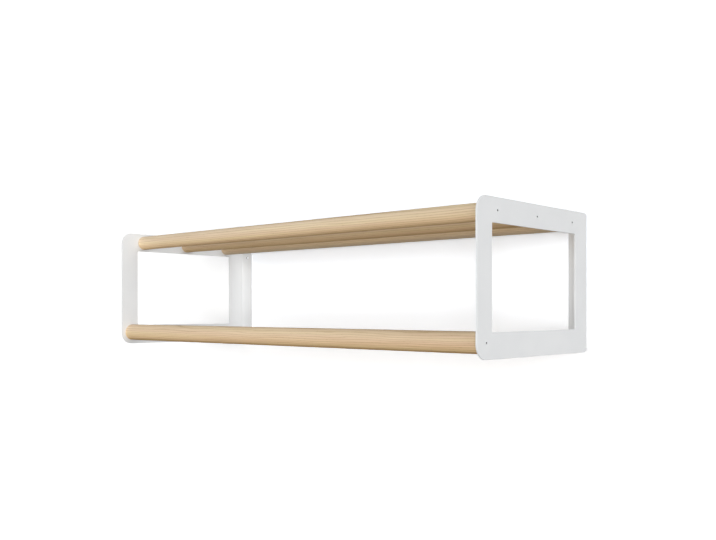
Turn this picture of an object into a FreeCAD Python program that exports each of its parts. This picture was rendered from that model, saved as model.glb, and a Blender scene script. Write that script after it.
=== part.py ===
import FreeCAD, Part
import math
import os

# Wall rack with an open shelf of three rods on top and one thicker hanging rod low at the front.
# Two bent plate frames carry the rods, and a countersunk screw holds each rod end.
# Millimetres. X runs along the rack, Y from the room to the wall, Z up.
# The origin is the middle of the four wall holes, on the wall plane.

# Rack
rack_length = 955.0
frame_depth = 354.0
frame_height = 250.0

# Side frame, a plate with one large window
plate_thickness = 3.0
front_bar_width = 41.0
top_bar_width = 40.0
bottom_bar_width = 42.0
back_bar_width = 46.0
front_corner_radius = 25.0
back_corner_radius = 8.0
window_corner_radius = 1.5

# Wall flange, bent inward from the back edge of the plate
flange_width = 36.0
flange_corner_radius = 6.0
bend_inner_radius = 2.0
bend_relief = 1.0
corner_setback = 2.5

# Wall holes, two in each flange
wall_hole_diameter = 6.5
wall_hole_from_flange_edge = 14.0
wall_hole_from_top = 41.0
wall_hole_from_bottom = 24.0

# Shelf rods
shelf_rod_diameter = 30.0
shelf_rod_drop = 20.5
shelf_rod_margin = 57.0

# Hanging rod, centred on the turn of the lower front corner
hanging_rod_diameter = 35.0
hanging_rod_inset = 26.0
rod_end_chamfer = 1.0

# Countersunk screw with a hexagon socket
screw_diameter = 5.0
screw_head_diameter = 10.0
screw_length = 16.0
screw_tip_chamfer = 0.8
socket_width = 3.0
socket_depth = 1.8

# Threaded insert in the end grain of a rod
insert_diameter = 10.0
insert_core_diameter = 8.0
insert_length = 13.0
insert_recess = 1.0
insert_ridge_count = 5
driver_slot_width = 1.6
driver_slot_depth = 1.5

# Clearances, each a gap on the radius, and overruns
screw_hole_clearance = 0.15
thread_clearance = 0.1
insert_clearance = 0.1
land_below_head = 0.5
bore_spare_depth = 2.0
cut_overrun = 1.0

# Places worked out from the sizes above
bend_outer_radius = bend_inner_radius + plate_thickness
outer_x = rack_length / 2
inner_x = outer_x - plate_thickness
flange_edge_x = outer_x - flange_width
wall_hole_x = flange_edge_x + wall_hole_from_flange_edge
wall_hole_spacing = frame_height - wall_hole_from_top - wall_hole_from_bottom
top_z = wall_hole_spacing / 2 + wall_hole_from_top
bottom_z = top_z - frame_height
flange_top_z = top_z - back_corner_radius - bend_relief
flange_bottom_z = bottom_z + back_corner_radius + bend_relief
shelf_rod_z = top_z - shelf_rod_drop
head_height = plate_thickness - land_below_head
rod_length = rack_length - 2 * plate_thickness
bore_depth = max(insert_recess + insert_length, screw_length - plate_thickness) + bore_spare_depth

# Each rod: name, diameter, place of its axis in depth and height
rods = [
    ("front_shelf_rod", shelf_rod_diameter, shelf_rod_margin - frame_depth, shelf_rod_z),
    ("middle_shelf_rod", shelf_rod_diameter, -frame_depth / 2, shelf_rod_z),
    ("back_shelf_rod", shelf_rod_diameter, -shelf_rod_margin, shelf_rod_z),
    ("hanging_rod", hanging_rod_diameter, hanging_rod_inset - frame_depth, bottom_z + hanging_rod_inset),
]

along_x = FreeCAD.Vector(1, 0, 0)
along_y = FreeCAD.Vector(0, 1, 0)
along_z = FreeCAD.Vector(0, 0, 1)
centre = FreeCAD.Vector(0, 0, 0)


def side_point(y, z):
    """Point on the inner face of the right side plate."""
    return FreeCAD.Vector(inner_x, y, z)


def wall_point(x, z):
    """Point on the wall plane."""
    return FreeCAD.Vector(x, 0, z)


def rounded_face(corners, radii):
    """Flat face through square corners, each turned by an arc of its own radius."""
    starts = []
    ends = []
    arcs = []
    for index, corner in enumerate(corners):
        radius = radii[index]
        back = corners[index - 1] - corner
        back.normalize()
        onward = corners[(index + 1) % len(corners)] - corner
        onward.normalize()
        starts.append(corner + back * radius)
        ends.append(corner + onward * radius)
        middle = corner + (back + onward) * (radius * (1 - math.sqrt(0.5)))
        arcs.append(Part.Arc(starts[-1], middle, ends[-1]).toShape() if radius > 0 else None)
    edges = []
    for index, arc in enumerate(arcs):
        if arc is not None:
            edges.append(arc)
        edges.append(Part.LineSegment(ends[index], starts[(index + 1) % len(corners)]).toShape())
    return Part.Face(Part.Wire(edges))


def turned(profile):
    """Solid turned about the X axis from pairs of distance along the axis and radius."""
    points = [FreeCAD.Vector(x, radius, 0) for x, radius in profile]
    face = Part.Face(Part.makePolygon(points + points[:1]))
    return face.revolve(centre, along_x, 360)


def moved(shape, x, y, z):
    """Copy of a shape, shifted."""
    copy = shape.copy()
    copy.translate(FreeCAD.Vector(x, y, z))
    return copy


def mirrored(shape):
    """Copy of a shape on the other end of the rack."""
    return shape.mirror(centre, along_x)


def side_plate():
    """Flat plate with round corners and a window, cut back to the bend with relief at both ends."""
    plate = rounded_face(
        [
            side_point(-frame_depth, bottom_z),
            side_point(-corner_setback, bottom_z),
            side_point(-corner_setback, top_z),
            side_point(-frame_depth, top_z),
        ],
        [front_corner_radius, back_corner_radius, back_corner_radius, front_corner_radius],
    ).extrude(along_x * plate_thickness)
    window_front = front_bar_width - frame_depth
    window_bottom = bottom_z + bottom_bar_width
    window_top = top_z - top_bar_width
    window = rounded_face(
        [
            side_point(window_front, window_bottom),
            side_point(-back_bar_width, window_bottom),
            side_point(-back_bar_width, window_top),
            side_point(window_front, window_top),
        ],
        [window_corner_radius] * 4,
    ).extrude(along_x * plate_thickness)
    bend_room = Part.makeBox(
        plate_thickness,
        bend_outer_radius,
        flange_top_z - flange_bottom_z + 2 * bend_relief,
        FreeCAD.Vector(inner_x, -bend_outer_radius, flange_bottom_z - bend_relief),
    )
    return plate.cut(window).cut(bend_room)


def wall_flange():
    """Bend and flat flange behind the plate, with round free corners and wall holes."""
    bend_x = outer_x - bend_outer_radius
    bend_y = -bend_outer_radius
    slant = math.sqrt(0.5)

    def bend_point(radius, x_part, y_part):
        return FreeCAD.Vector(bend_x + radius * x_part, bend_y + radius * y_part, flange_bottom_z)

    outer_start = bend_point(bend_outer_radius, 1, 0)
    outer_end = bend_point(bend_outer_radius, 0, 1)
    inner_start = bend_point(bend_inner_radius, 1, 0)
    inner_end = bend_point(bend_inner_radius, 0, 1)
    free_back = FreeCAD.Vector(flange_edge_x, 0, flange_bottom_z)
    free_front = FreeCAD.Vector(flange_edge_x, -plate_thickness, flange_bottom_z)
    section = Part.Wire([
        Part.Arc(outer_start, bend_point(bend_outer_radius, slant, slant), outer_end).toShape(),
        Part.LineSegment(outer_end, free_back).toShape(),
        Part.LineSegment(free_back, free_front).toShape(),
        Part.LineSegment(free_front, inner_end).toShape(),
        Part.Arc(inner_end, bend_point(bend_inner_radius, slant, slant), inner_start).toShape(),
        Part.LineSegment(inner_start, outer_start).toShape(),
    ])
    strip = Part.Face(section).extrude(along_z * (flange_top_z - flange_bottom_z))
    outline = rounded_face(
        [
            wall_point(flange_edge_x, flange_bottom_z),
            wall_point(outer_x, flange_bottom_z),
            wall_point(outer_x, flange_top_z),
            wall_point(flange_edge_x, flange_top_z),
        ],
        [flange_corner_radius, 0, 0, flange_corner_radius],
    ).extrude(along_y * -bend_outer_radius)
    flange = strip.common(outline)
    for side in (-1, 1):
        flange = flange.cut(Part.makeCylinder(
            wall_hole_diameter / 2,
            plate_thickness + 2 * cut_overrun,
            FreeCAD.Vector(wall_hole_x, cut_overrun, side * wall_hole_spacing / 2),
            along_y * -1,
        ))
    return flange


def screw_hole():
    """Countersunk hole with its wide end at zero, running along X."""
    hole_radius = screw_diameter / 2 + screw_hole_clearance
    mouth_radius = screw_head_diameter / 2 + screw_hole_clearance
    return turned([
        (0, 0),
        (0, mouth_radius),
        (head_height, hole_radius),
        (plate_thickness + cut_overrun, hole_radius),
        (plate_thickness + cut_overrun, 0),
    ])


def frame():
    """Right side frame, one bent sheet."""
    sheet = side_plate().fuse(wall_flange()).removeSplitter()
    hole = mirrored(screw_hole())
    for _, _, y, z in rods:
        sheet = sheet.cut(moved(hole, outer_x, y, z))
    return sheet


def screw():
    """Countersunk screw, head at zero and tip along X."""
    shank_radius = screw_diameter / 2
    body = turned([
        (0, 0),
        (0, screw_head_diameter / 2),
        (head_height, shank_radius),
        (screw_length - screw_tip_chamfer, shank_radius),
        (screw_length, shank_radius - screw_tip_chamfer),
        (screw_length, 0),
    ])
    corner_radius = socket_width / math.sqrt(3)
    corners = []
    for index in range(6):
        turn = math.radians(60 * index)
        corners.append(FreeCAD.Vector(0, corner_radius * math.cos(turn), corner_radius * math.sin(turn)))
    socket = Part.Face(Part.makePolygon(corners + corners[:1])).extrude(along_x * socket_depth)
    return body.cut(socket)


def insert():
    """Threaded insert, mouth at zero and running along X, with ridges that grip the wood."""
    core_radius = insert_core_diameter / 2
    bore_radius = screw_diameter / 2 + thread_clearance
    pitch = insert_length / (insert_ridge_count + 1)
    profile = [(0, bore_radius), (0, core_radius)]
    for index in range(insert_ridge_count):
        ridge_start = pitch * (index + 0.5)
        profile.append((ridge_start, core_radius))
        profile.append((ridge_start + pitch / 2, insert_diameter / 2))
        profile.append((ridge_start + pitch, core_radius))
    profile.append((insert_length, core_radius))
    profile.append((insert_length, bore_radius))
    slot = Part.makeBox(
        driver_slot_depth,
        insert_diameter,
        driver_slot_width,
        FreeCAD.Vector(0, -insert_diameter / 2, -driver_slot_width / 2),
    )
    return turned(profile).cut(slot)


def rod(diameter):
    """Round rod centred on the X axis, with softened ends bored for the inserts."""
    radius = diameter / 2
    half = rod_length / 2
    body = turned([
        (-half, 0),
        (-half, radius - rod_end_chamfer),
        (rod_end_chamfer - half, radius),
        (half - rod_end_chamfer, radius),
        (half, radius - rod_end_chamfer),
        (half, 0),
    ])
    bore_radius = insert_diameter / 2 + insert_clearance
    for end in (-1, 1):
        start = FreeCAD.Vector(end * half, 0, 0)
        body = body.cut(Part.makeCylinder(bore_radius, bore_depth, start, along_x * -end))
    return body


def export(shape, name):
    """Write one solid as a STEP file."""
    shape.exportStep("parts/" + name + ".step")


os.makedirs("parts", exist_ok=True)

right_frame = frame()
export(right_frame, "right_frame")
export(mirrored(right_frame), "left_frame")

for name, diameter, y, z in rods:
    export(moved(rod(diameter), 0, y, z), name)
    right_screw = moved(mirrored(screw()), outer_x, y, z)
    right_insert = moved(mirrored(insert()), inner_x - insert_recess, y, z)
    left_screw = moved(screw(), -outer_x, y, z)
    left_insert = moved(insert(), insert_recess - inner_x, y, z)
    export(right_screw, name + "_right_screw")
    export(left_screw, name + "_left_screw")
    export(right_insert, name + "_right_insert")
    export(left_insert, name + "_left_insert")
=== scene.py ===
"""Looks of a wall rack: two bent white steel side frames, three ash shelf rods and an ash hanging rod.

Metres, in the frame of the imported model: X along the rack, Y towards the wall, Z up.
The origin is the middle of the four wall holes, on the wall plane.
"""

import logging
import math
from abc import ABC, abstractmethod
from collections.abc import Iterable, Sequence
from dataclasses import dataclass
from enum import Enum
from typing import Any, Union

import bpy
import bmesh
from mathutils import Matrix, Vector
from mathutils.geometry import delaunay_2d_cdt


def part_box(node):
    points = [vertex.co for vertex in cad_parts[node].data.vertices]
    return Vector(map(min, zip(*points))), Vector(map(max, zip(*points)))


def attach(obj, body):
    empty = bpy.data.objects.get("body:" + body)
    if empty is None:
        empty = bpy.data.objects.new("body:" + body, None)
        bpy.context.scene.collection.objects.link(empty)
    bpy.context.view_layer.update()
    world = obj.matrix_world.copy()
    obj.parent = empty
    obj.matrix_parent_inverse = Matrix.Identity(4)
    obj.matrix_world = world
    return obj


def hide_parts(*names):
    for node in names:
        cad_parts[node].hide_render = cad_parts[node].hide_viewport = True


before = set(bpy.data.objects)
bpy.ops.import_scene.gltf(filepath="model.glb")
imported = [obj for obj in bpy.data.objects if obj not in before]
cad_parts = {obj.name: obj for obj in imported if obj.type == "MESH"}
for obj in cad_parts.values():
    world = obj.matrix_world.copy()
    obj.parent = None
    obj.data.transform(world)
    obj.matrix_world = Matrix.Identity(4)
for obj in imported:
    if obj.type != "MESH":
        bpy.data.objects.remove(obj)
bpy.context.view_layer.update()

LOG = logging.getLogger("wall_rack")
MM = 0.001
BODY = "root"
RIGHT_ANGLE = math.pi / 2
CREASE = math.radians(40)
TWIN_DISTANCE = 1e-7
NOISE_MIDDLE = 0.5

Point = tuple[float, float]
Span = tuple[float, float]
Section = list[tuple[float, float]]
Loop = tuple[list[Point], list[int]]
Triple = tuple[float, float, float]
Colour = tuple[float, float, float, float]
Number = Union["Signal", float]
Shade = Union["Signal", Colour]


class Side(Enum):
    """End of the rack that a piece belongs to, and the way that X points there."""

    LEFT = -1
    RIGHT = 1

    @property
    def word(self) -> str:
        """Word used in the names of pieces."""
        return self.name.lower()


class Slot(Enum):
    """Material slots of the record."""

    COAT = "powder_coat"
    WOOD = "ash"
    PAINT = "screw_paint"
    ZINC = "zinc_steel"


class Tint(Enum):
    """Ways to lay one colour over another."""

    MIX = "MIX"
    MULTIPLY = "MULTIPLY"


class Signal:
    """A value, vector or colour inside a shader, on which sums can be written."""

    def __init__(self, graph: "Graph", socket: bpy.types.NodeSocket) -> None:
        """Holds a socket and the graph that it is in."""
        self.graph = graph
        self.socket = socket

    def __add__(self, other: Number) -> "Signal":
        """Sum."""
        return self.graph.maths("ADD", self, other)

    def __radd__(self, other: float) -> "Signal":
        """Sum with a number in front."""
        return self.graph.maths("ADD", other, self)

    def __sub__(self, other: Number) -> "Signal":
        """Difference."""
        return self.graph.maths("SUBTRACT", self, other)

    def __rsub__(self, other: float) -> "Signal":
        """Difference from a number."""
        return self.graph.maths("SUBTRACT", other, self)

    def __mul__(self, other: Number) -> "Signal":
        """Product."""
        return self.graph.maths("MULTIPLY", self, other)

    def __rmul__(self, other: float) -> "Signal":
        """Product with a number in front."""
        return self.graph.maths("MULTIPLY", other, self)

    def __truediv__(self, other: Number) -> "Signal":
        """Quotient."""
        return self.graph.maths("DIVIDE", self, other)

    def __rtruediv__(self, other: float) -> "Signal":
        """Quotient of a number."""
        return self.graph.maths("DIVIDE", other, self)

    def fraction(self) -> "Signal":
        """Part after the decimal point."""
        return self.graph.maths("FRACT", self)

    def size(self) -> "Signal":
        """Value without its sign."""
        return self.graph.maths("ABSOLUTE", self)

    def largest(self, other: Number) -> "Signal":
        """Larger of two values."""
        return self.graph.maths("MAXIMUM", self, other)

    def reach(self, other: "Signal") -> "Signal":
        """Distance from zero of a point with these two parts."""
        return self.graph.maths("SQRT", self * self + other * other)

    def eased(self, low: float, high: float) -> "Signal":
        """Smooth step from 0 at low to 1 at high.

        Args:
            low: Value where the step starts.
            high: Value where the step is complete.

        Returns:
            The share of the step, from 0 to 1.
        """
        return self.graph.node(
            "ShaderNodeMapRange",
            {"interpolation_type": "SMOOTHSTEP"},
            {"Value": self, "From Min": low, "From Max": high},
        )

    def scaled(self, by: Triple) -> "Signal":
        """Vector with each part multiplied."""
        return self.graph.node("ShaderNodeVectorMath", {"operation": "MULTIPLY"}, {0: self, 1: by})

    def along(self, axis: Triple) -> "Signal":
        """How far a vector reaches along an axis."""
        settings = {"operation": "DOT_PRODUCT"}
        return self.graph.node("ShaderNodeVectorMath", settings, {0: self, 1: axis}, "Value")

    def parts(self) -> tuple["Signal", "Signal", "Signal"]:
        """X, Y and Z of a vector."""
        split = self.graph.node("ShaderNodeSeparateXYZ", {}, {0: self}).socket.node
        return tuple(Signal(self.graph, socket) for socket in split.outputs)


class Graph:
    """Node tree of one material, lamp or world."""

    def __init__(self, tree: bpy.types.NodeTree) -> None:
        """Empties a node tree to draw on."""
        self.tree = tree
        tree.nodes.clear()

    def node(
        self,
        kind: str,
        settings: dict[str, Any],
        sockets: dict[Union[str, int], Any],
        output: Union[str, int] = 0,
    ) -> Signal:
        """Adds a node.

        Args:
            kind: Type name of the node.
            settings: Properties of the node, which are set first.
            sockets: Values or signals by socket name or number.
            output: Name or number of the output that is wanted.

        Returns:
            The wanted output.
        """
        made = self.tree.nodes.new(kind)
        for name, value in settings.items():
            setattr(made, name, value)
        for key, value in sockets.items():
            if isinstance(value, Signal):
                self.tree.links.new(value.socket, made.inputs[key])
            else:
                made.inputs[key].default_value = value
        return Signal(self, made.outputs[output])

    def maths(self, operation: str, *values: Number) -> Signal:
        """Sum of numbers, one Math node."""
        return self.node("ShaderNodeMath", {"operation": operation}, dict(enumerate(values)))

    def place(self) -> Signal:
        """Position on the piece, in metres from the piece's own origin."""
        return self.node("ShaderNodeTexCoord", {}, {}, "Object")

    def noise(self, place: Signal, grains: Triple, seed: float, detail: float = 2.0) -> Signal:
        """Smooth noise around NOISE_MIDDLE.

        Args:
            place: Position to read it at.
            grains: Size of one grain along X, Y and Z.
            seed: Number that picks the pattern.
            detail: Octaves of finer noise.

        Returns:
            The noise.
        """
        counts = tuple(1 / grain for grain in grains)
        return self.node(
            "ShaderNodeTexNoise",
            {"noise_dimensions": "4D"},
            {"Vector": place.scaled(counts), "W": seed, "Scale": 1.0, "Detail": detail},
        )

    def mixed(self, share: Number, first: Shade, second: Shade, way: Tint = Tint.MIX) -> Signal:
        """Colour laid over another.

        Args:
            share: How much of the second colour shows, from 0 to 1.
            first: Colour below.
            second: Colour on top.
            way: How the second colour acts on the first.

        Returns:
            The mixed colour.
        """
        settings = {"data_type": "RGBA", "blend_type": way.value}
        return self.node("ShaderNodeMix", settings, {0: share, 6: first, 7: second}, 2)

    def times(self, first: Shade, second: Shade) -> Signal:
        """Product of two colours."""
        return self.mixed(1.0, first, second, Tint.MULTIPLY)

    def grey(self, level: Signal, warmth: float = 0.0) -> Signal:
        """Grey of a changing level.

        Args:
            level: Brightness, around 1.
            warmth: How much browner it gets where it is darker.

        Returns:
            The colour.
        """
        green = self.maths("POWER", level, 1 + warmth / 2)
        blue = self.maths("POWER", level, 1 + warmth)
        return self.node("ShaderNodeCombineColor", {}, {0: level, 1: green, 2: blue})

    def surface(self, sockets: dict[str, Any]) -> Signal:
        """Principled surface with the given sockets."""
        return self.node("ShaderNodeBsdfPrincipled", {}, sockets)

    def relief(self, height: Signal, depth: float) -> Signal:
        """Normal of a surface whose height, from 0 to 1, spans a depth in metres."""
        return self.node("ShaderNodeBump", {}, {"Strength": 1.0, "Distance": depth, "Height": height})

    def blended(self, share: Signal, first: Signal, second: Signal) -> Signal:
        """Shader that turns from the first to the second."""
        return self.node("ShaderNodeMixShader", {}, {0: share, 1: first, 2: second})

    def close(self, shader: Signal, kind: str = "ShaderNodeOutputMaterial") -> None:
        """Links a shader to the tree's output."""
        output = self.tree.nodes.new(kind)
        self.tree.links.new(shader.socket, output.inputs["Surface"])


def colour(red: float, green: float, blue: float) -> Colour:
    """Opaque colour in linear light."""
    return (red, green, blue, 1.0)


def new_material(name: str) -> tuple[bpy.types.Material, Graph]:
    """Adds an empty material.

    Args:
        name: Name of the material.

    Returns:
        The material and its graph.
    """
    material = bpy.data.materials.new(name)
    material.use_nodes = True
    return material, Graph(material.node_tree)


class Finish(ABC):
    """Finish of some pieces, which each kind draws as its own shader."""

    def material(self, name: str) -> bpy.types.Material:
        """Makes a material of the finish.

        Args:
            name: Name of the material.

        Returns:
            The material.
        """
        material, graph = new_material(name)
        graph.close(self.shader(graph))
        return material

    @abstractmethod
    def shader(self, graph: Graph) -> Signal:
        """Draws the finish and gives its surface."""


@dataclass(frozen=True)
class PowderCoat(Finish):
    """Matt white powder coat on steel, with a fine orange peel. The wall holes are painted dark grey
    inside, as shade.
    """

    fresh: Colour = colour(0.835, 0.845, 0.850)
    thin: Colour = colour(0.810, 0.820, 0.828)
    # Dark grey inside the wall holes: painted shade of the holes.
    steel: Colour = colour(0.26, 0.26, 0.265)
    hole_out: float = 455.5 * MM
    hole_up: float = 92.5 * MM
    hole_radius: float = 3.3 * MM
    hole_fade: float = 0.1 * MM
    roughness: float = 0.42
    roughness_spread: float = 0.10
    patch_size: float = 55 * MM
    patch_band: Span = (0.3, 0.7)
    peel_size: float = 1.1 * MM
    peel_depth: float = 0.012 * MM
    seed: float = 3.0

    def shader(self, graph: Graph) -> Signal:
        """Draws the coat in faint patches, and painted shade in the wall holes.

        Args:
            graph: Graph of the material.

        Returns:
            The surface.
        """
        place = graph.place()
        patches = graph.noise(place, (self.patch_size,) * 3, self.seed)
        peel = graph.noise(place, (self.peel_size,) * 3, self.seed + 1, detail=1.0)
        along, _, up = place.parts()
        # Painted shade: dark grey inside the wall holes, fading out at their rims.
        from_hole = (along.size() - self.hole_out).reach(up.size() - self.hole_up)
        clear_of_hole_shade = from_hole.eased(self.hole_radius, self.hole_radius + self.hole_fade)
        coat = graph.mixed(patches.eased(*self.patch_band), self.fresh, self.thin)
        return graph.surface({
            "Base Color": graph.mixed(clear_of_hole_shade, self.steel, coat),
            "Roughness": self.roughness + (patches - NOISE_MIDDLE) * self.roughness_spread,
            "Normal": graph.relief(peel, self.peel_depth),
        })


@dataclass(frozen=True)
class ScrewPaint(Finish):
    """White enamel on a screw, with painted shade inside the socket. The head is at zero, facing away from
    X.
    """

    enamel: Colour = colour(0.82, 0.83, 0.835)
    # Dark colour: painted shade in the socket, and the bare steel of the shank.
    socket_shade_and_shank_steel: Colour = colour(0.16, 0.16, 0.165)
    roughness: float = 0.38
    socket_shade_depths: Span = (0.05 * MM, 0.40 * MM)
    socket_rim: Span = (1.8 * MM, 2.0 * MM)
    bare_shank: Span = (2.9 * MM, 2.95 * MM)
    grain: float = 0.6 * MM
    grain_roughness: float = 0.1
    dent: float = 0.01 * MM
    seed: float = 8.0

    def shader(self, graph: Graph) -> Signal:
        """Draws the enamel, with painted shade in the socket and bare steel on the shank.

        Args:
            graph: Graph of the material.

        Returns:
            The surface.
        """
        place = graph.place()
        along, across, up = place.parts()
        speckle = graph.noise(place, (self.grain,) * 3, self.seed)
        # Painted shade inside the socket, fading in over its first 0.4 mm.
        socket_shade = along.eased(*self.socket_shade_depths) * (1 - across.reach(up).eased(*self.socket_rim))
        shank = along.eased(*self.bare_shank)
        return graph.surface({
            "Base Color": graph.mixed(socket_shade.largest(shank), self.enamel, self.socket_shade_and_shank_steel),
            "Metallic": shank,
            "Roughness": self.roughness + speckle * self.grain_roughness,
            "Normal": graph.relief(speckle, self.dent),
        })


@dataclass(frozen=True)
class ZincSteel(Finish):
    """Zinc plated steel with a faint yellow passivation."""

    bright: Colour = colour(0.66, 0.66, 0.62)
    dull: Colour = colour(0.52, 0.51, 0.45)
    dull_band: Span = (0.35, 0.65)
    roughness: float = 0.32
    grain: float = 1.5 * MM
    grain_roughness: float = 0.15
    scratch: float = 0.008 * MM
    seed: float = 12.0

    def shader(self, graph: Graph) -> Signal:
        """Draws the plating, mottled with duller spots.

        Args:
            graph: Graph of the material.

        Returns:
            The surface.
        """
        mottle = graph.noise(graph.place(), (self.grain,) * 3, self.seed)
        return graph.surface({
            "Base Color": graph.mixed(mottle.eased(*self.dull_band), self.bright, self.dull),
            "Metallic": 1.0,
            "Roughness": self.roughness + mottle * self.grain_roughness,
            "Normal": graph.relief(mottle, self.scratch),
        })


@dataclass(frozen=True)
class AshWood(Finish):
    """Clear oiled ash, sawn along the grain.

    The growth rings are shells around a pith that lies outside the rod and runs slightly askew to it.
    The wood is more golden on the side of the pith, darker still nearest to it, and paler and cooler on
    the far side.
    These tints are partly the wood's own and partly painted light: where the pith lies below a rod, the
    golden and darkest tints are painted shade on its underside, and the paler side a painted sheen on its
    top.
    A rod may also be darker towards its right end, as painted shade of the right frame.
    """

    seed: float
    pith_across: float
    pith_up: float
    pith_slope: float
    late: Colour = colour(0.810, 0.640, 0.456)
    early: Colour = colour(0.535, 0.374, 0.214)
    rosy: Colour = colour(1.00, 0.955, 0.93)
    golden: Colour = colour(0.985, 0.98, 0.88)
    # Tints by the pith side: partly the wood's own, partly painted shade on the golden side and painted
    # sheen on the paler side.
    heartwood_and_shade: Colour = colour(1.04, 0.96, 0.80)
    sapwood_and_sheen: Colour = colour(0.995, 1.02, 1.07)
    # Darkest band nearest the pith: painted shade on the undersides of the rods whose pith lies below
    # them.
    core_shade: Colour = colour(0.76, 0.67, 0.54)
    heart_depth: float = 14 * MM
    core_shade_from: float = 15.5 * MM
    core_shade_to: float = 8 * MM
    # Darker tone towards the right end: painted shade of the right frame.
    plate_shade: Colour = colour(1.0, 1.0, 1.0)
    plate_shade_reach: Span = (-100 * MM, 480 * MM)
    ring_width: float = 3.6 * MM
    ring_wander: float = 1.4
    early_from: float = 0.04
    early_share: float = 0.34
    early_strength: float = 0.52
    late_strength: float = 0.10
    pore: Triple = (7 * MM, 0.32 * MM, 0.32 * MM)
    pore_band: Span = (0.56, 0.66)
    pore_stain: float = 0.5
    fibre: Triple = (90 * MM, 1.2 * MM, 1.2 * MM)
    fibre_contrast: float = 0.34
    warmth: float = 0.7
    streak: Triple = (520 * MM, 7 * MM, 7 * MM)
    streak_band: Span = (0.3, 0.7)
    streak_contrast: float = 0.16
    sway: Triple = (180 * MM, 20 * MM, 20 * MM)
    roughness: float = 0.66
    early_roughness: float = 0.12
    pore_roughness: float = 0.1
    gloss: float = 0.02
    groove: float = 0.05 * MM
    fibre_height: float = 0.3
    early_height: float = 0.2

    def shader(self, graph: Graph) -> Signal:
        """Draws the rings, their tones, the fibres and the pores.

        Args:
            graph: Graph of the material.

        Returns:
            The surface.
        """
        place = graph.place()
        distance = self.from_pith(place)
        early, pores = self.rings(graph, place, distance)
        fibres = graph.noise(place, self.fibre, self.seed + 1, detail=3.0)
        streaks = graph.noise(place, self.streak, self.seed + 2)
        hue = graph.mixed(streaks.eased(*self.streak_band), self.rosy, self.golden)
        fibre_shade = (fibres - NOISE_MIDDLE) * self.fibre_contrast
        streak_shade = (streaks - NOISE_MIDDLE) * self.streak_contrast
        wood = self.toned(graph, graph.mixed(early, self.late, self.early), place, distance)
        wood = graph.times(wood, hue)
        wood = graph.times(wood, graph.grey(1 + fibre_shade + streak_shade, self.warmth))
        wood = graph.mixed(pores * self.pore_stain, wood, self.early, Tint.MULTIPLY)
        height = fibres * self.fibre_height - pores - early * self.early_height
        return graph.surface({
            "Base Color": wood,
            "Roughness": self.roughness + early * self.early_roughness + pores * self.pore_roughness,
            "Specular IOR Level": self.gloss,
            "Normal": graph.relief(height, self.groove),
        })

    def from_pith(self, place: Signal) -> Signal:
        """Distance from the pith.

        Args:
            place: Position on the rod.

        Returns:
            The distance in metres.
        """
        along, across, up = place.parts()
        drift = along * self.pith_slope
        return (across - self.pith_across + drift).reach(up - self.pith_up + drift)

    def toned(self, graph: Graph, wood: Signal, place: Signal, distance: Signal) -> Signal:
        """Wood with the pith-side tints, partly painted shade and sheen, and the painted shade of the core
        and of the right end.

        Args:
            graph: Graph of the material.
            wood: Colour of the rings.
            place: Position on the rod.
            distance: Distance from the pith.

        Returns:
            The toned colour.
        """
        middle = math.hypot(self.pith_across, self.pith_up)
        # Pith-side tint, partly the wood's own: painted shade where the pith lies below the rod, painted
        # sheen on the far side.
        heart_and_shade = 1 - distance.eased(middle - self.heart_depth, middle + self.heart_depth)
        # Painted shade: a darker band on the side nearest the pith.
        core_shade = 1 - distance.eased(middle - self.core_shade_from, middle - self.core_shade_to)
        # Painted shade of the right frame, growing towards the rod's right end.
        toward_plate_shade = place.parts()[0].eased(*self.plate_shade_reach)
        wood = graph.times(wood, graph.mixed(heart_and_shade, self.sapwood_and_sheen, self.heartwood_and_shade))
        wood = graph.mixed(core_shade, wood, self.core_shade, Tint.MULTIPLY)
        return graph.mixed(toward_plate_shade, wood, self.plate_shade, Tint.MULTIPLY)

    def rings(self, graph: Graph, place: Signal, distance: Signal) -> tuple[Signal, Signal]:
        """Growth rings and the pores at their start.

        Args:
            graph: Graph of the material.
            place: Position on the rod.
            distance: Distance from the pith.

        Returns:
            How much of the darker early wood shows, and the mask of the pores.
        """
        sway = graph.noise(place, self.sway, self.seed) * self.ring_wander
        phase = (distance / self.ring_width + sway).fraction()
        early_band = 1 - phase.eased(self.early_from, self.early_share)
        late_rise = phase.eased(self.early_share, 1.0)
        early = early_band * self.early_strength + late_rise * self.late_strength
        dashes = graph.noise(place, self.pore, self.seed + 3, detail=1.0)
        return early, dashes.eased(*self.pore_band) * early_band


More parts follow.
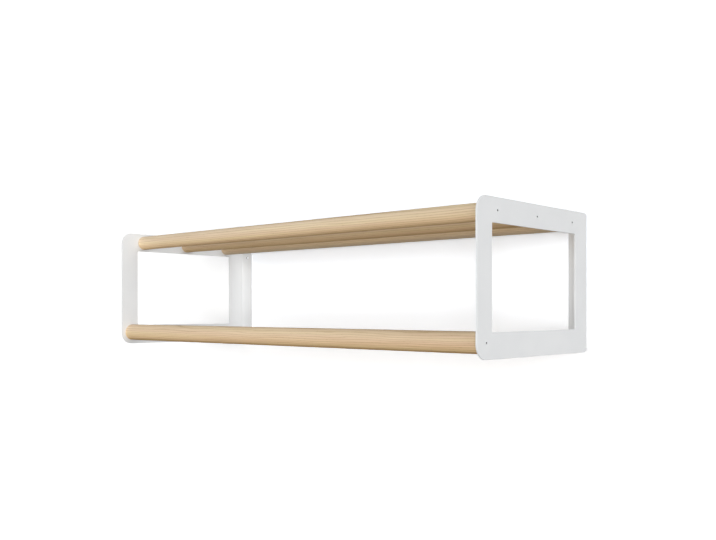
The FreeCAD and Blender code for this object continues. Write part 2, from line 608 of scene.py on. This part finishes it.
class Draft:
    """Points and faces of a piece while it is built, in metres."""

    def __init__(self) -> None:
        """Starts empty."""
        self.points: list[Vector] = []
        self.faces: list[tuple[int, ...]] = []

    def ring(self, points: Iterable[Vector]) -> list[int]:
        """Adds points.

        Args:
            points: The points, in order round a ring.

        Returns:
            Their numbers in the draft.
        """
        start = len(self.points)
        self.points.extend(points)
        return list(range(start, len(self.points)))

    def disc(self, along: float, points: Iterable[Point]) -> list[int]:
        """Adds a ring that lies across the X axis."""
        return self.ring(Vector((along, *point)) for point in points)

    def bridge(self, rings: Sequence[Sequence[int]]) -> None:
        """Joins closed rings of as many points, each to the next, with quads.

        Args:
            rings: Point numbers of each ring.
        """
        for first, second in zip(rings, rings[1:]):
            for here in range(len(first)):
                there = (here + 1) % len(first)
                self.faces.append((first[here], first[there], second[there], second[here]))

    def body(self, rings: Sequence[Sequence[int]]) -> None:
        """Joins rings and closes the first and the last.

        Args:
            rings: Point numbers of each ring.
        """
        self.bridge(rings)
        self.faces.append(tuple(rings[0]))
        self.faces.append(tuple(rings[-1]))

    def piece(self, name: str) -> bpy.types.Object:
        """Turns the draft into an object with smooth faces and sharp creases.

        Args:
            name: Name of the piece.

        Returns:
            The object, linked to the scene.
        """
        mesh = bpy.data.meshes.new(name)
        mesh.from_pydata(self.points, [], self.faces)
        shaper = bmesh.new()
        shaper.from_mesh(mesh)
        bmesh.ops.recalc_face_normals(shaper, faces=shaper.faces)
        shaper.to_mesh(mesh)
        shaper.free()
        mesh.shade_smooth()
        mesh.set_sharp_from_angle(angle=CREASE)
        made = bpy.data.objects.new(name, mesh)
        bpy.context.scene.collection.objects.link(made)
        made.modifiers.new("even_shading", "WEIGHTED_NORMAL").keep_sharp = True
        return made


def turn(share: float, radius: float, centre: Point = (0.0, 0.0)) -> Point:
    """Point on a circle at a share of a full turn."""
    angle = 2 * math.pi * share
    return (centre[0] + radius * math.cos(angle), centre[1] + radius * math.sin(angle))


def circle(radius: float, steps: int, centre: Point = (0.0, 0.0)) -> list[Point]:
    """Points of a circle, counter-clockwise."""
    return [turn(step / steps, radius, centre) for step in range(steps)]


def rounded(corners: Sequence[tuple[float, float, float, int]]) -> list[Point]:
    """Outline through square corners, each turned by an arc.

    Args:
        corners: Place, radius and number of steps of each corner, in order round the outline.

    Returns:
        The points of the outline.
    """
    points: list[Point] = []
    for index, (x, y, radius, steps) in enumerate(corners):
        corner = Vector((x, y))
        if radius == 0:
            points.append((x, y))
            continue
        back = (Vector(corners[index - 1][:2]) - corner).normalized()
        onward = (Vector(corners[(index + 1) % len(corners)][:2]) - corner).normalized()
        centre = corner + (back + onward) * radius
        for step in range(steps + 1):
            angle = RIGHT_ANGLE * step / steps
            spot = centre - (onward * math.cos(angle) + back * math.sin(angle)) * radius
            points.append((spot.x, spot.y))
    return points


def without_twins(points: Sequence[Point]) -> list[Point]:
    """Outline without points that repeat the one before.

    Args:
        points: The outline.

    Returns:
        The points that are kept.
    """
    kept: list[Point] = []
    for point in points:
        if not kept or math.dist(point, kept[-1]) > TWIN_DISTANCE:
            kept.append(point)
    return kept


def inset(points: Sequence[Point], amount: float) -> list[Point]:
    """Outline moved into the material, which lies to the left of it.

    Args:
        points: The outline.
        amount: Distance that each edge moves.

    Returns:
        As many points, moved.
    """
    moved: list[Point] = []
    for index, (x, y) in enumerate(points):
        here = Vector((x, y))
        before = (here - Vector(points[index - 1])).normalized()
        after = (Vector(points[(index + 1) % len(points)]) - here).normalized()
        first = Vector((-before.y, before.x))
        second = Vector((-after.y, after.x))
        shift = (first + second) * (amount / (1 + first.dot(second)))
        moved.append((x + shift.x, y + shift.y))
    return moved


def inside(spot: Point, outlines: Iterable[Sequence[Point]]) -> bool:
    """Tells whether a spot is in the material.

    Args:
        spot: The spot.
        outlines: Outlines of the material and of its holes.

    Returns:
        Whether the spot is inside an odd number of outlines.
    """
    odd = False
    for outline in outlines:
        for index, (x, y) in enumerate(outline):
            last_x, last_y = outline[index - 1]
            if (y > spot[1]) != (last_y > spot[1]):
                crossing = x + (spot[1] - y) * (last_x - x) / (last_y - y)
                odd ^= spot[0] < crossing
    return odd


def soft_edge(radius: float, steps: int) -> Section:
    """Quarter round of an edge, as pairs of inset and depth, from the face to the side."""
    angles = [RIGHT_ANGLE * step / steps for step in range(steps + 1)]
    return [(radius * (1 - math.sin(angle)), radius * (1 - math.cos(angle))) for angle in angles]


@dataclass(frozen=True)
class Contour:
    """Closed cut edge of a sheet: its outline, and its section through the thickness.

    The section's pairs are inset and depth, from the outer face to the inner face.
    """

    outline: list[Point]
    section: Section

    def rings(self) -> list[tuple[list[Point], float]]:
        """Outline at each depth of the section."""
        return [(inset(self.outline, amount), depth) for amount, depth in self.section]


@dataclass
class SideFrame:
    """Ring plate with a large window, bent at the back into a flange that lies on the wall.

    It is drawn as the flat blank, across from the front edge to the flange's free edge and up as Z,
    and then folded.
    """

    side: Side
    thickness: float = 3 * MM
    front_bar: float = 41 * MM
    top_bar: float = 40 * MM
    bottom_bar: float = 42 * MM
    back_bar: float = 46 * MM
    front_radius: float = 25 * MM
    front_steps: int = 24
    back_radius: float = 8 * MM
    back_steps: int = 12
    window_radius: float = 1.5 * MM
    window_steps: int = 6
    flange_width: float = 36 * MM
    flange_radius: float = 6 * MM
    flange_steps: int = 10
    bend_radius: float = 5 * MM
    bend_steps: int = 10
    relief: float = 1 * MM
    relief_depth: float = 0.45 * MM
    corner_setback: float = 2.5 * MM
    hole_from_edge: float = 14 * MM
    hole_from_top: float = 41 * MM
    hole_from_bottom: float = 24 * MM
    hole_radius: float = 3.25 * MM
    hole_steps: int = 40
    screw_hole_radius: float = 2.65 * MM
    screw_hole_steps: int = 48
    countersink_radius: float = 5.25 * MM
    countersink_depth: float = 2.8 * MM
    edge_radius: float = 0.35 * MM
    edge_steps: int = 3
    line_slack: float = 0.01 * MM
    triangle_slack: float = 1e-9

    def __post_init__(self) -> None:
        """Takes the frame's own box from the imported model."""
        self.node = f"{self.side.word}_frame"
        low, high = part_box(self.node)
        self.outer_x = max(abs(low.x), abs(high.x))
        self.depth = high.y - low.y
        self.bottom = low.z
        self.top = high.z
        self.bend_start = self.depth - self.bend_radius
        self.bend_length = RIGHT_ANGLE * (self.bend_radius - self.thickness / 2)
        self.free_edge = self.bend_start + self.bend_length + self.flange_width - self.bend_radius
        self.flange_top = self.top - self.back_radius - self.relief
        self.flange_bottom = self.bottom + self.back_radius + self.relief

    def build(self, rods: Sequence["Rod"]) -> bpy.types.Object:
        """Builds the folded sheet.

        Args:
            rods: Rods that are screwed to the frame.

        Returns:
            The piece.
        """
        contours = [self.outer_contour(), self.window_contour()]
        contours += self.wall_hole_contours()
        contours += [self.screw_hole_contour(rod) for rod in rods]
        draft = Draft()
        faces: list[list[Loop]] = [[], []]
        for contour in contours:
            rings = [
                (flat, draft.ring(self.folded(across, up, depth) for across, up in flat))
                for flat, depth in contour.rings()
            ]
            draft.bridge([numbers for _, numbers in rings])
            faces[0].append(rings[0])
            faces[1].append(rings[-1])
        for loops in faces:
            self.skin(draft, loops)
        return draft.piece(f"{self.node}_sheet")

    def folded(self, across: float, up: float, depth: float) -> Vector:
        """Place of a spot of the blank after folding.

        Args:
            across: Distance from the front edge along the sheet.
            up: Height.
            depth: Distance below the outer face.

        Returns:
            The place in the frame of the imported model.
        """
        in_flange = self.flange_bottom - self.relief / 2 < up < self.flange_top + self.relief / 2
        past = across - self.bend_start
        if past <= 0 or not in_flange:
            x, y = self.outer_x - depth, across - self.depth
        else:
            angle = min(past / self.bend_length, 1.0) * RIGHT_ANGLE
            radius = self.bend_radius - depth
            flat = max(past - self.bend_length, 0.0)
            x = self.outer_x - self.bend_radius + radius * math.cos(angle) - flat
            y = radius * math.sin(angle) - self.bend_radius
        return Vector((x * self.side.value, y, up))

    def edge_section(self) -> Section:
        """Cut edge, softened by the coat on both faces."""
        soft = soft_edge(self.edge_radius, self.edge_steps)
        return soft + [(amount, self.thickness - depth) for amount, depth in reversed(soft)]

    def bend_lines(self) -> list[float]:
        """Places across the blank where the bend is divided."""
        share = self.bend_length / self.bend_steps
        return [self.bend_start + share * step for step in range(self.bend_steps + 1)]

    def outer_contour(self) -> Contour:
        """Outer outline of the blank, with the relief notches at the bend.

        Returns:
            The contour, counter-clockwise.
        """
        notch = self.bend_start - self.relief_depth
        ear = self.depth - self.corner_setback
        lines = self.bend_lines()
        points = rounded([
            (0.0, self.bottom, self.front_radius, self.front_steps),
            (ear, self.bottom, self.back_radius, self.back_steps),
            (ear, self.flange_bottom - self.relief, 0, 0),
            (notch, self.flange_bottom - self.relief, 0, 0),
            (notch, self.flange_bottom, 0, 0),
            *[(line, self.flange_bottom, 0, 0) for line in lines],
            (self.free_edge, self.flange_bottom, self.flange_radius, self.flange_steps),
            (self.free_edge, self.flange_top, self.flange_radius, self.flange_steps),
            *[(line, self.flange_top, 0, 0) for line in reversed(lines)],
            (notch, self.flange_top, 0, 0),
            (notch, self.flange_top + self.relief, 0, 0),
            (ear, self.flange_top + self.relief, 0, 0),
            (ear, self.top, self.back_radius, self.back_steps),
            (0.0, self.top, self.front_radius, self.front_steps),
        ])
        return Contour(without_twins(points), self.edge_section())

    def window_contour(self) -> Contour:
        """Window of the plate.

        Returns:
            The contour, clockwise.
        """
        back = self.depth - self.back_bar
        low = self.bottom + self.bottom_bar
        high = self.top - self.top_bar
        corners = [(self.front_bar, low), (self.front_bar, high), (back, high), (back, low)]
        points = rounded([(x, y, self.window_radius, self.window_steps) for x, y in corners])
        return Contour(points, self.edge_section())

    def wall_hole_contours(self) -> list[Contour]:
        """Two holes in the flange.

        Returns:
            The contours, clockwise, the upper one first.
        """
        across = self.free_edge - self.hole_from_edge
        heights = (self.top - self.hole_from_top, self.bottom + self.hole_from_bottom)
        return [
            Contour(circle(self.hole_radius, self.hole_steps, (across, up))[::-1], self.edge_section())
            for up in heights
        ]

    def screw_hole_contour(self, rod: "Rod") -> Contour:
        """Countersunk hole at a rod's axis.

        Args:
            rod: The rod.

        Returns:
            The contour, clockwise.
        """
        soft = soft_edge(self.edge_radius / 2, self.edge_steps)
        funnel = self.countersink_radius - self.screw_hole_radius
        mouth = soft_edge(self.edge_radius, self.edge_steps)
        section = [
            *[(funnel + amount, depth) for amount, depth in mouth],
            (0.0, self.countersink_depth),
            *[(amount, self.thickness - depth) for amount, depth in reversed(soft)],
        ]
        centre = (rod.y + self.depth, rod.z)
        return Contour(circle(self.screw_hole_radius, self.screw_hole_steps, centre)[::-1], section)

    def skin(self, draft: Draft, loops: Sequence[Loop]) -> None:
        """Fills one face of the sheet between its contours.

        Args:
            draft: Draft to add the faces to.
            loops: Flat points and point numbers of each contour on this face.
        """
        flat: list[Vector] = []
        numbers: list[int] = []
        edges: list[tuple[int, int]] = []
        for points, ring in loops:
            start = len(flat)
            flat += [Vector(point) for point in points]
            numbers += ring
            count = len(points)
            edges += [(start + step, start + (step + 1) % count) for step in range(count)]
        outer = loops[0][0]
        for line in self.bend_lines():
            ends = [index for index, point in enumerate(outer) if abs(point[0] - line) < self.line_slack]
            ends.sort(key=lambda index: outer[index][1])
            edges.append((ends[0], ends[-1]))
        _, _, triangles, sources, _, _ = delaunay_2d_cdt(flat, edges, [], 0, self.triangle_slack)
        outlines = [points for points, _ in loops]
        for triangle in triangles:
            corners = [flat[sources[corner][0]] for corner in triangle]
            middle = sum(corners, Vector((0.0, 0.0))) / len(corners)
            if inside((middle.x, middle.y), outlines):
                draft.faces.append(tuple(numbers[sources[corner][0]] for corner in triangle))


@dataclass
class Rod:
    """Round ash rod with softened ends, bored at both ends for its inserts."""

    node: str
    wood: AshWood
    steps: int = 128
    bore_radius: float = 5.1 * MM
    bore_depth: float = 16 * MM
    end_radius: float = 1 * MM
    end_steps: int = 5

    def __post_init__(self) -> None:
        """Takes the rod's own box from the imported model."""
        low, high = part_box(self.node)
        middle = (low + high) / 2
        self.half = (high.x - low.x) / 2
        self.radius = (high.z - low.z) / 2
        self.y = middle.y
        self.z = middle.z

    def profile(self) -> list[Point]:
        """Section of the rod, from one bore's floor over the outside to the other's.

        Returns:
            Pairs of distance along the rod and radius.
        """
        soft = soft_edge(self.end_radius, self.end_steps)
        half = [
            (self.half - self.bore_depth, self.bore_radius),
            (self.half, self.bore_radius),
            *[(self.half - depth, self.radius - amount) for amount, depth in soft],
        ]
        return [(-along, radius) for along, radius in half] + half[::-1]

    def build(self) -> bpy.types.Object:
        """Builds the rod around its own axis and puts it in place.

        Returns:
            The piece.
        """
        draft = Draft()
        draft.body([draft.disc(along, circle(radius, self.steps)) for along, radius in self.profile()])
        made = draft.piece(f"{self.node}_wood")
        made.location = (0.0, self.y, self.z)
        return made


@dataclass
class RodScrew:
    """Countersunk screw with a hexagon socket, drawn with its head at zero and its tip along X."""

    rod: Rod
    side: Side
    head_radius: float = 5 * MM
    shank_radius: float = 2.5 * MM
    head_height: float = 2.5 * MM
    length: float = 16 * MM
    tip: float = 0.8 * MM
    socket_width: float = 3 * MM
    socket_depth: float = 1.8 * MM
    socket_sides: int = 6
    pitch: float = 0.8 * MM
    thread_depth: float = 0.42 * MM
    thread_start: float = 3.6 * MM
    edge_radius: float = 0.5 * MM
    edge_steps: int = 3
    sunk: float = 0.25 * MM
    steps: int = 48
    rings_per_turn: int = 6

    @property
    def node(self) -> str:
        """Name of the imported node."""
        return f"{self.rod.node}_{self.side.word}_screw"

    def hexagon(self, grow: float) -> list[Point]:
        """Points of the socket, as many as the head's own, from corner to corner.

        Args:
            grow: Distance that each side is moved outwards.

        Returns:
            The points, counter-clockwise.
        """
        points: list[Point] = []
        for step in range(self.steps):
            share = step / self.steps
            off_middle = (share * self.socket_sides) % 1 - 0.5
            reach = (self.socket_width / 2 + grow) / math.cos(off_middle * 2 * math.pi / self.socket_sides)
            points.append(turn(share, reach))
        return points

    def thread_radius(self, along: float, share: float) -> float:
        """Radius of the thread.

        Args:
            along: Distance along the screw.
            share: Share of a full turn.

        Returns:
            The radius there.
        """
        ridge = abs(((along / self.pitch - share) % 1) * 2 - 1)
        past_start = (along - self.thread_start) / self.pitch
        before_end = (self.length - self.tip - along) / self.pitch
        fade = min(max(past_start, 0.0), 1.0) * min(max(before_end, 0.0), 1.0)
        return self.shank_radius - self.thread_depth * fade * (1 - ridge)

    def threads(self, draft: Draft) -> list[list[int]]:
        """Adds the rings of the thread.

        Args:
            draft: Draft of the screw.

        Returns:
            Point numbers of each ring, towards the tip.
        """
        threaded = self.length - self.tip - self.thread_start
        count = round(threaded / self.pitch * self.rings_per_turn)
        shares = [step / self.steps for step in range(self.steps)]
        rings: list[list[int]] = []
        for step in range(count + 1):
            along = self.thread_start + threaded * step / count
            points = [turn(share, self.thread_radius(along, share)) for share in shares]
            rings.append(draft.disc(along, points))
        return rings

    def build(self) -> bpy.types.Object:
        """Builds the screw and puts it in place.

        Returns:
            The piece.
        """
        draft = Draft()
        lip = self.edge_radius / 2
        rings = [
            draft.disc(self.socket_depth, self.hexagon(0.0)),
            draft.disc(lip, self.hexagon(0.0)),
            draft.disc(0.0, self.hexagon(lip)),
        ]
        for amount, depth in soft_edge(self.edge_radius, self.edge_steps):
            rings.append(draft.disc(depth, circle(self.head_radius - amount, self.steps)))
        rings.append(draft.disc(self.head_height, circle(self.shank_radius, self.steps)))
        rings += self.threads(draft)
        rings.append(draft.disc(self.length, circle(self.shank_radius - self.tip, self.steps)))
        draft.body(rings)
        made = draft.piece(f"{self.node}_painted")
        low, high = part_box(self.node)
        head = max(abs(low.x), abs(high.x)) - self.sunk
        made.location = (head * self.side.value, self.rod.y, self.rod.z)
        made.rotation_euler.z = math.pi if self.side is Side.RIGHT else 0.0
        return made


def dress(piece: bpy.types.Object, material: bpy.types.Material, node: str) -> None:
    """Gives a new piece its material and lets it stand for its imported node.

    Args:
        piece: The piece.
        material: Its material.
        node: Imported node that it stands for.
    """
    piece.data.materials.append(material)
    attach(piece, BODY)
    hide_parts(node)
    LOG.info("%s stands for %s, %d faces", piece.name, node, len(piece.data.polygons))


@dataclass
class Rack:
    """The whole rack: side frames, rods, screws and inserts."""

    coat: PowderCoat = PowderCoat()
    paint: ScrewPaint = ScrewPaint()
    zinc: ZincSteel = ZincSteel()

    def rods(self) -> list[Rod]:
        """The four rods, each sawn from another place in the tree.

        Returns:
            The shelf rods from front to back, and the hanging rod.
        """
        # The piths of the front, middle and hanging rods lie below them, so their pith-side tints are
        # painted shade on the undersides and between the shelf rods, and a painted sheen on top.
        front = AshWood(
            seed=21.0,
            pith_across=20 * MM,
            pith_up=-51 * MM,
            pith_slope=0.004,
            sapwood_and_sheen=colour(1.0, 1.06, 1.14),
            # Painted shade of the right frame towards the rod's right end.
            plate_shade=colour(0.955, 0.94, 0.91),
        )
        middle = AshWood(seed=34.0, pith_across=14 * MM, pith_up=-53 * MM, pith_slope=-0.006)
        back = AshWood(
            seed=47.0,
            pith_across=-42 * MM,
            pith_up=45 * MM,
            pith_slope=0.005,
            heartwood_and_shade=colour(1.03, 0.99, 0.92),
            core_shade=colour(0.93, 0.90, 0.86),
        )
        hanging = AshWood(
            seed=63.0,
            pith_across=8 * MM,
            pith_up=-63 * MM,
            pith_slope=0.003,
            ring_wander=3.0,
            # Painted shade of the right frame towards the rod's right end.
            plate_shade=colour(0.935, 0.912, 0.90),
        )
        return [
            Rod("front_shelf_rod", front),
            Rod("middle_shelf_rod", middle),
            Rod("back_shelf_rod", back),
            Rod("hanging_rod", hanging),
        ]

    def build(self) -> None:
        """Builds and dresses every piece."""
        rods = self.rods()
        coat = self.coat.material("white_powder_coat")
        paint = self.paint.material("white_screw_enamel")
        zinc = self.zinc.material("zinc_plated_steel")
        for side in Side:
            side_frame = SideFrame(side)
            dress(side_frame.build(rods), coat, side_frame.node)
        for rod in rods:
            dress(rod.build(), rod.wood.material(f"{rod.node}_ash"), rod.node)
            for side in Side:
                screw = RodScrew(rod, side)
                dress(screw.build(), paint, screw.node)
                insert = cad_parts[f"{rod.node}_{side.word}_insert"]
                insert.data.materials.clear()
                insert.data.materials.append(zinc)
                LOG.info("%s keeps its packed shape", insert.name)


@dataclass(frozen=True)
class Softbox:
    """Square studio lamp with a soft front."""

    name: str
    place: Triple
    target: Triple
    size: float
    power: float

    def build(self) -> None:
        """Adds the lamp."""
        lamp = bpy.data.lights.new(self.name, "AREA")
        lamp.shape = "SQUARE"
        lamp.size = self.size
        lamp.energy = self.power
        made = bpy.data.objects.new(self.name, lamp)
        bpy.context.scene.collection.objects.link(made)
        made.location = self.place
        aim = Vector(self.target) - Vector(self.place)
        made.rotation_euler = aim.to_track_quat("-Z", "Y").to_euler()
        LOG.info("%s of %.0f W", self.name, self.power)


@dataclass(frozen=True)
class Glow:
    """Soft light from one way, which lights a surface that faces it at its strength."""

    towards: Triple
    strength: float
    narrowness: int

    def level(self, way: Signal) -> Signal:
        """Brightness of the surroundings.

        Args:
            way: Direction that is looked in.

        Returns:
            The brightness there.
        """
        facing = way.along(self.towards).largest(0.0)
        peak = self.strength * (self.narrowness + 2) / 2
        return way.graph.maths("POWER", facing, float(self.narrowness)) * peak


@dataclass(frozen=True)
class Studio:
    """Camera, light, and a piece of white wall above a pale floor, which only the camera sees."""

    camera_place: Triple = (1.17546, -1.39517, -0.04054)
    camera_turn: float = math.radians(41.958)
    lens: float = 41.944
    sensor: float = 36.0
    shift_up: float = 0.05589
    glows: tuple[Glow, ...] = (
        Glow((1.0, 0.0, 0.0), 0.32, 6),
        Glow((0.87, 0.0, 0.5), 0.24, 24),
        Glow((0.6, -0.8, 0.0), 0.29, 24),
        Glow((0.0, -1.0, 0.0), 0.14, 24),
        Glow((0.0, -0.87, 0.5), 0.05, 24),
        Glow((-0.707, 0.707, 0.0), 0.90, 12),
        Glow((0.0, 0.0, 1.0), 0.12, 2),
        Glow((0.0, 0.0, -1.0), 0.03, 2),
    )
    wall_gap: float = 1.5 * MM
    wall_width: float = 4.8
    wall_top: float = 1.6
    wall_paint: Colour = colour(1.34, 1.34, 1.34)
    wall_cool: Colour = colour(1.34, 1.40, 1.485)
    wall_lift: float = 0.12
    cool_along: Span = (-0.55, -0.40)
    cool_up: Span = (-0.18, 0.11)
    floor_height: float = -1.1
    floor_width: float = 14.0
    floor_steps: int = 48
    floor_paint: Colour = colour(3.4, 3.4, 3.4)
    white: float = 1.0
    lamps: tuple[Softbox, ...] = (
        Softbox("key_softbox", (4.3, -5.9, 0.05), (0.0, -0.15, 0.0), 1.8, 78.0),
        Softbox("front_softbox", (0.1, -2.4, 0.0), (0.0, -0.15, 0.0), 0.9, 12.6),
    )

    def build(self) -> None:
        """Adds everything around the rack."""
        self.add_camera()
        self.add_world()
        for lamp in self.lamps:
            lamp.build()
        wide = self.wall_width / 2
        back = self.wall_gap
        wall = [(-wide, back, self.floor_height), (wide, back, self.floor_height)]
        wall += [(wide, back, self.wall_top), (-wide, back, self.wall_top)]
        self.add_plane("studio_wall", wall, self.wall_paint, self.wall_cool, self.wall_lift)
        floor = [(x, y, self.floor_height) for x, y in circle(self.floor_width / 2, self.floor_steps)]
        self.add_plane("studio_floor", floor, self.floor_paint, self.floor_paint, 0.0)
        bpy.context.scene.view_settings.view_transform = "Standard"

    def add_camera(self) -> None:
        """Adds the camera where the photograph was taken."""
        lens = bpy.data.cameras.new("photo_camera")
        lens.sensor_width = self.sensor
        lens.lens = self.lens
        lens.shift_y = self.shift_up
        camera = bpy.data.objects.new("photo_camera", lens)
        camera.location = self.camera_place
        camera.rotation_euler = (RIGHT_ANGLE, 0.0, self.camera_turn)
        bpy.context.scene.collection.objects.link(camera)
        bpy.context.scene.camera = camera

    def add_world(self) -> None:
        """Lights the rack softly from all round, each way by its own glow, on plain white."""
        world = bpy.data.worlds.new("studio_world")
        world.use_nodes = True
        bpy.context.scene.world = world
        graph = Graph(world.node_tree)
        way = graph.node("ShaderNodeTexCoord", {}, {}, "Generated")
        first, *others = [glow.level(way) for glow in self.glows]
        level = sum(others, first)
        white = colour(1.0, 1.0, 1.0)
        light = graph.node("ShaderNodeBackground", {}, {"Color": white, "Strength": level})
        plain = graph.node("ShaderNodeBackground", {}, {"Color": white, "Strength": self.white})
        rays = graph.node("ShaderNodeLightPath", {}, {}).socket.node
        seen = Signal(graph, rays.outputs["Is Camera Ray"])
        for name in ("Is Glossy Ray", "Is Transmission Ray"):
            seen = seen.largest(Signal(graph, rays.outputs[name]))
        graph.close(graph.blended(seen, light, plain), "ShaderNodeOutputWorld")

    def add_plane(
        self, name: str, corners: Sequence[Triple], paint: Colour, cool: Colour, lift: float
    ) -> None:
        """Adds the wall or the floor, seen by the camera from its front only.

        Args:
            name: Name of the plane.
            corners: Corners of the plane, counter-clockwise from its front.
            paint: Colour, so bright that it shows as white where nothing shades it.
            cool: Colour behind the shelf, which takes the wood's warm cast away.
            lift: How much paler it is a metre away from the rack, to stay white there.
        """
        mesh = bpy.data.meshes.new(name)
        mesh.from_pydata(corners, [], [tuple(range(len(corners)))])
        plane = bpy.data.objects.new(name, mesh)
        bpy.context.scene.collection.objects.link(plane)
        plane.visible_diffuse = False
        plane.visible_glossy = False
        plane.visible_transmission = False
        plane.visible_shadow = False
        material, graph = new_material(f"{name}_paint")
        along, _, up = graph.place().parts()
        level = 1 + (along * along + up * up) * lift
        near_wood = along.eased(*self.cool_along) * up.eased(*self.cool_up)
        shade = graph.times(graph.mixed(near_wood, paint, cool), graph.grey(level))
        front = graph.node("ShaderNodeBsdfDiffuse", {}, {"Color": shade})
        behind = graph.node("ShaderNodeNewGeometry", {}, {}, "Backfacing")
        clear = graph.node("ShaderNodeBsdfTransparent", {}, {})
        graph.close(graph.blended(behind, front, clear))
        mesh.materials.append(material)


def main() -> None:
    """Builds the rack and the studio."""
    logging.basicConfig(level=logging.INFO, format="%(message)s")
    Rack().build()
    Studio().build()


if __name__ == "__main__":
    main()
